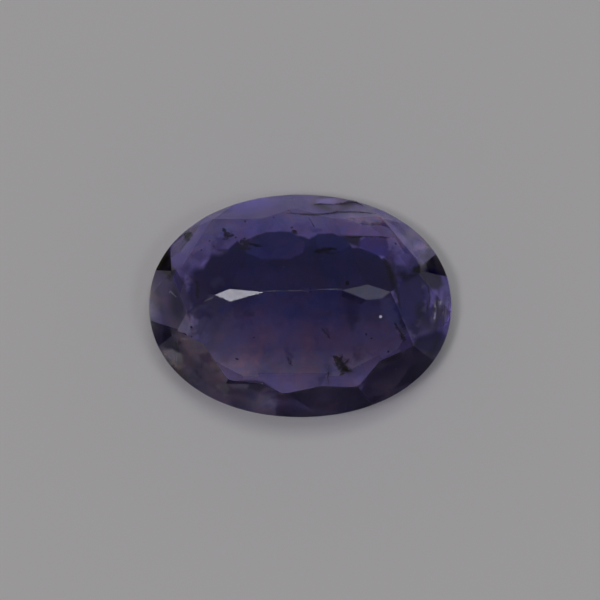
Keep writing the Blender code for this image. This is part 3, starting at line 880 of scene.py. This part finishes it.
# The crystals of a cluster run into each other, so each is made this much wider than it looks.
CRYSTAL_SPREAD = 1.35


def beneath(across, up, depth):
    """The point this deep in the stone on the refracted line of sight through a place."""
    sight = (seen_point(across, up) - CAMERA_PLACE).normalized()
    hit, point, normal, _ = stone.ray_cast(CAMERA_PLACE, sight)
    if not hit:
        raise ValueError(f"No stone is seen at ({across}, {up})")
    cosine = -sight.dot(normal)
    ratio = 1.0 / REFRACTION
    bent = sight * ratio + normal * (ratio * cosine - math.sqrt(1.0 - ratio**2 * (1.0 - cosine**2)))
    return point + bent * depth * MM


def move_point(piece, start, target):
    for vertex in piece.data.vertices:
        vertex.select = (vertex.co - start).length < SAME_CORNER * MM
    bpy.ops.object.mode_set(mode="EDIT")
    bpy.ops.transform.translate(value=target - start)
    bpy.ops.object.mode_set(mode="OBJECT")


def add_film(depth, route):
    """A thin film faced to the camera, as wide at each point of its route as the route says."""
    middles = [beneath(across, up, depth) for across, up, _ in route]
    steps = len(route) - 1
    bpy.ops.object.select_all(action="DESELECT")
    bpy.ops.mesh.primitive_grid_add(x_subdivisions=steps, y_subdivisions=1, size=1.0)
    film = bpy.context.object
    bpy.ops.object.mode_set(mode="EDIT")
    bpy.ops.mesh.select_mode(type="VERT")
    bpy.ops.mesh.select_all(action="DESELECT")
    bpy.ops.object.mode_set(mode="OBJECT")
    for index, (middle, (_, _, width)) in enumerate(zip(middles, route)):
        along = middles[min(index + 1, steps)] - middles[max(index - 1, 0)]
        side = TO_CAMERA.cross(along).normalized() * width * FILM_SPREAD / 2 * MM
        for sign in (-1, 1):
            start = Vector((index / steps - 0.5, sign / 2, 0.0))
            move_point(film, start, middle + side * sign)
    thicken = film.modifiers.new("thickness", "SOLIDIFY")
    thicken.thickness = FILM_THICKNESS * MM
    thicken.offset = 0.0
    bpy.ops.object.modifier_apply(modifier=thicken.name)
    return film


def add_crystal(depth, spot, seed):
    across, up, width, height, turn = spot
    bpy.ops.object.select_all(action="DESELECT")
    bpy.ops.mesh.primitive_ico_sphere_add(
        subdivisions=2,
        radius=0.5 * MM,
        location=beneath(across, up, depth),
        rotation=(VIEW_LEAN, 0.0, math.radians(turn)),
        scale=(1.0, 1.0, 1.0),
    )
    crystal = bpy.context.object
    bpy.ops.object.mode_set(mode="EDIT")
    bpy.ops.transform.vertex_random(offset=CRYSTAL_ROUGHNESS * MM, seed=seed)
    bpy.ops.object.mode_set(mode="OBJECT")
    crystal.scale = Vector((width, height, min(width, height) * CRYSTAL_FLATNESS)) * CRYSTAL_SPREAD
    bpy.ops.object.transform_apply(location=True, rotation=True, scale=True)
    return crystal


def as_one(name, parts, finish):
    """Joins the parts to one piece of the stone."""
    bpy.ops.object.select_all(action="DESELECT")
    for part in parts:
        part.select_set(True)
    bpy.context.view_layer.objects.active = parts[0]
    bpy.ops.object.join()
    piece = bpy.context.object
    bpy.ops.object.transform_apply(location=True, rotation=True, scale=True)
    bpy.ops.object.mode_set(mode="EDIT")
    bpy.ops.mesh.select_all(action="SELECT")
    bpy.ops.mesh.normals_make_consistent(inside=False)
    bpy.ops.object.mode_set(mode="OBJECT")
    piece.name = piece.data.name = name
    piece.data.materials.clear()
    piece.data.materials.append(finish.material)
    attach(piece, "root")


def add_films(name, rows, finish):
    as_one(name, [add_film(depth, route) for depth, route in rows], finish)


def add_crystals(name, rows, finish):
    parts = []
    for depth, spots in rows:
        parts += [add_crystal(depth, spot, len(parts) + index) for index, spot in enumerate(spots)]
    as_one(name, parts, finish)


def mottled(name, dark, light, size, roughness):
    """A finish of two colours in blotches."""
    finish = Finish(name)
    spots = finish.blotches(finish.places(), (size, BLOTCH_DETAIL), tuple(zip(BLOTCH_LEVELS, (dark, light))))
    finish.set(Base_Color=spots, Roughness=roughness)
    return finish


def cloudy(name, dark, light, size, roughness, least, most):
    """As mottled, and there only in part, from the least to the most."""
    finish = mottled(name, dark, light, size, roughness)
    patches = finish.grain(finish.places(), size, BLOTCH_DETAIL).outputs["Fac"]
    finish.set(Alpha=finish.between(patches, *CRYSTAL_LEVELS, least, most))
    return finish


def faded(name, dark, light, size, roughness, least, most):
    """As cloudy, for a film that fades toward its edges."""
    finish = mottled(name, dark, light, size, roughness)
    patches = finish.grain(finish.places(), size / 2, *FILM_GRAIN).outputs["Fac"]
    there = finish.between(patches, *FILM_LEVELS, least, most)
    along_side = finish.node("SeparateXYZ", finish.node("TexCoord").outputs["UV"]).outputs[1]
    unevenness = finish.grain(finish.places(), size / 2, *EDGE_GRAIN).outputs["Fac"]
    # Both the noise and the place along the film's side have their middle at 0.5.
    centred = finish.maths("SUBTRACT", along_side, 0.5 + 0.5 * EDGE_UNEVENNESS)
    from_middle = finish.maths("ABSOLUTE", finish.maths("MULTIPLY_ADD", unevenness, EDGE_UNEVENNESS, centred))
    finish.set(Alpha=finish.maths("MULTIPLY", there, finish.between(from_middle, FILM_END, 0.0)))
    return finish


def set_picture():
    """Plain colours, and enough bounces for light to leave the stone again."""
    scene = bpy.context.scene
    scene.view_settings.view_transform = "Standard"
    scene.cycles.use_denoising = True
    scene.cycles.max_bounces = STONE_BOUNCES
    scene.cycles.transmission_bounces = STONE_BOUNCES
    scene.cycles.transparent_max_bounces = STONE_BOUNCES
    scene.cycles.glossy_bounces = GLOSSY_BOUNCES


add_camera()
add_room_light()
for softbox in SOFTBOXES:
    add_softbox(*softbox)
add_floor()
add_black_cards()
set_picture()
stone = make_stone()
bpy.context.view_layer.update()
for name, routes, finish in FILMS:
    add_films(name, routes, faded(*finish))
add_crystals("dark_crystals", DARK_CRYSTALS, cloudy(*DARK_CRYSTAL))
add_crystals("brown_crystals", BROWN_CRYSTALS, cloudy(*BROWN_CRYSTAL))
add_crystals("pale_specks_and_glint", PALE_SPECKS_AND_GLINT, mottled(*PALE_SPECK_AND_GLINT))
